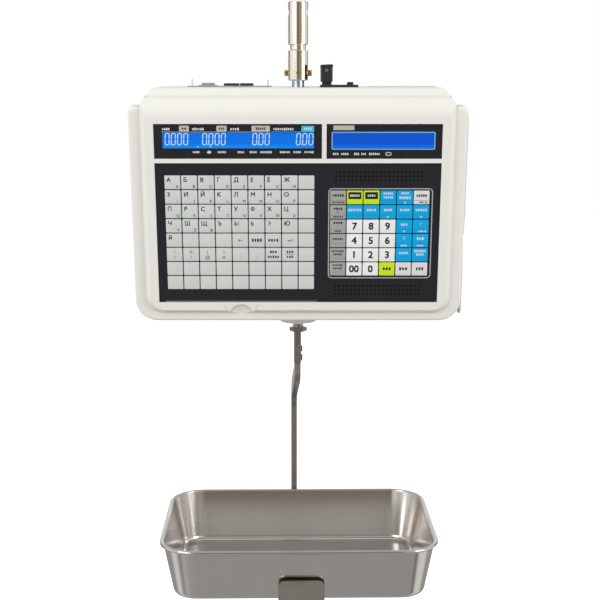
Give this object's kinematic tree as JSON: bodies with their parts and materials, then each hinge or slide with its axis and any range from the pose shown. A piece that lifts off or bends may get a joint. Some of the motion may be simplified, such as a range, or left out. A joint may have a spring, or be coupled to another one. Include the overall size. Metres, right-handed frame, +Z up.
{
  "type": "hanging label printing scale",
  "caption": "Hanging retail scale: a display and keyboard head with a label printer hangs from a tube and carries a swivelling, lift-off steel tray.",
  "frame": {"origin": "centre of the cross-hole in the hanger tube, where the scale is hung", "axes": "+X along the cross-hole to the operator's right, +Y away from the operator, +Z up"},
  "size_m": [0.4344, 0.2944, 0.8032],
  "materials": {
    "casing": "fine satin moulded",
    "panel_print": "smooth satin printed film",
    "window": "clear, printed black behind its edges",
    "lcd": "backlit liquid crystal",
    "key_face": "embossed polyester",
    "number_face": "embossed polyester",
    "card": "coated card",
    "circuit_board": "solder mask",
    "chip": "moulded epoxy",
    "tray_steel": "satin brushed",
    "bar_steel": "satin ground",
    "tube_nickel": "bright nickel",
    "zinc": "blue passivated zinc",
    "brass": "turned",
    "cell_aluminium": "milled",
    "frame_steel": "galvanised sheet",
    "spindle_steel": "turned stainless",
    "pad_rubber": "matte",
    "black_plastic": "fine texture",
    "label_paper": "smooth",
    "hub_plastic": "moulded",
    "gear_plastic": "moulded acetal",
    "roller_rubber": "ground",
    "head_ceramic": "glazed",
    "lever_green": "moulded",
    "motor_can": "painted",
    "supply_cover": "satin sheet",
    "socket_metal": "plated"
  },
  "bodies": {
    "head": {"front_case": "casing", "rear_case": "casing", "case_screws": "zinc", "bottom_boss": "casing", "left_display_window": "window", "right_display_window": "window", "price_lcd": "lcd", "message_lcd": "lcd", "rear_window": "window", "key_overlay": "panel_print", "speed_key_pads": "key_face", "numeric_key_pads": "number_face", "membrane_switch": "chip", "keypad_board": "circuit_board", "main_board": "circuit_board", "board_chips": "chip", "board_standoffs": "brass", "power_supply": "supply_cover", "hanger_tube": "tube_nickel", "tube_screws": "brass", "hanger_stud": "zinc", "stud_nuts": "zinc", "chassis_frame": "frame_steel", "load_cell": "cell_aluminium", "swivel_housing": "frame_steel", "thrust_bearing": "spindle_steel", "printer_plate": "frame_steel", "drive_motor": "motor_can", "drive_belt": "roller_rubber", "peel_bar": "spindle_steel", "label_chute": "black_plastic", "door_hinge_pins": "spindle_steel", "power_plate": "black_plastic", "gland_body": "black_plastic", "gland_cap": "black_plastic", "gland_screw": "zinc", "io_panel": "socket_metal", "serial_socket": "socket_metal", "data_sockets": "black_plastic", "connector_posts": "zinc"},
    "carrier": {"hook_spindle": "spindle_steel", "hook_nut": "spindle_steel", "bar_fork": "spindle_steel", "bar_screws": "spindle_steel", "hanger_bar": "bar_steel", "carrier_plate": "bar_steel", "tray_pads": "pad_rubber"},
    "tray": {"tray": "tray_steel"},
    "door": {"printer_door": "casing"},
    "latch": {"latch_button": "black_plastic"},
    "card": {"legend_card": "card"},
    "rocker": {"power_rocker": "black_plastic"},
    "supply_roll": {"label_roll": "label_paper", "roll_spindle": "hub_plastic"},
    "rewind": {"rewind_spool": "hub_plastic"},
    "platen": {"platen_roller": "roller_rubber", "platen_gear": "gear_plastic"},
    "pinion": {"motor_pinion": "brass"},
    "print_head": {"print_head": "head_ceramic", "head_lever": "lever_green"}
  },
  "joints": [
    {"name": "carrier_swivel", "type": "hinge", "parent": "head", "child": "carrier", "pos_m": [0, 0, -0.24], "axis": [0, 0, 1], "continuous": true},
    {"name": "tray_lift", "type": "slide", "parent": "carrier", "child": "tray", "axis": [0, 0, 1], "range_m": [0, 0.08]},
    {"name": "door_swing", "type": "hinge", "parent": "head", "child": "door", "pos_m": [0.2139, 0.066, -0.26], "axis": [0, 0, 1], "range_deg": [0, 110]},
    {"name": "latch_slide", "type": "slide", "parent": "door", "child": "latch", "axis": [0, 1, 0], "range_m": [0, 0.004], "stiffness_N_per_m": 300},
    {"name": "card_slide", "type": "slide", "parent": "head", "child": "card", "axis": [0, 0.1564, -0.9877], "range_m": [0, 0.1]},
    {"name": "rocker_tilt", "type": "hinge", "parent": "head", "child": "rocker", "pos_m": [0.068, -0.004, -0.097], "axis": [1, 0, 0], "range_deg": [0, 14]},
    {"name": "supply_spin", "type": "hinge", "parent": "head", "child": "supply_roll", "pos_m": [0.15, 0, -0.258], "axis": [1, 0, 0], "continuous": true},
    {"name": "platen_spin", "type": "hinge", "parent": "head", "child": "platen", "pos_m": [0.15, 0.006, -0.345], "axis": [1, 0, 0], "continuous": true},
    {"name": "pinion_spin", "type": "hinge", "parent": "head", "child": "pinion", "pos_m": [0.1, -0.00882, -0.35744], "axis": [1, 0, 0], "continuous": true},
    {"name": "rewind_spin", "type": "hinge", "parent": "head", "child": "rewind", "pos_m": [0.15, 0.018, -0.172], "axis": [1, 0, 0], "continuous": true},
    {"name": "head_lift", "type": "hinge", "parent": "head", "child": "print_head", "pos_m": [0.15, -0.013, -0.308], "axis": [-1, 0, 0], "range_deg": [0, 25]}
  ],
  "couplings": [
    {"joint": "platen_spin", "follows": "supply_spin", "ratio": 5.75},
    {"joint": "pinion_spin", "follows": "supply_spin", "ratio": -17.25},
    {"joint": "rewind_spin", "follows": "supply_spin", "ratio": 4.0752}
  ]
}
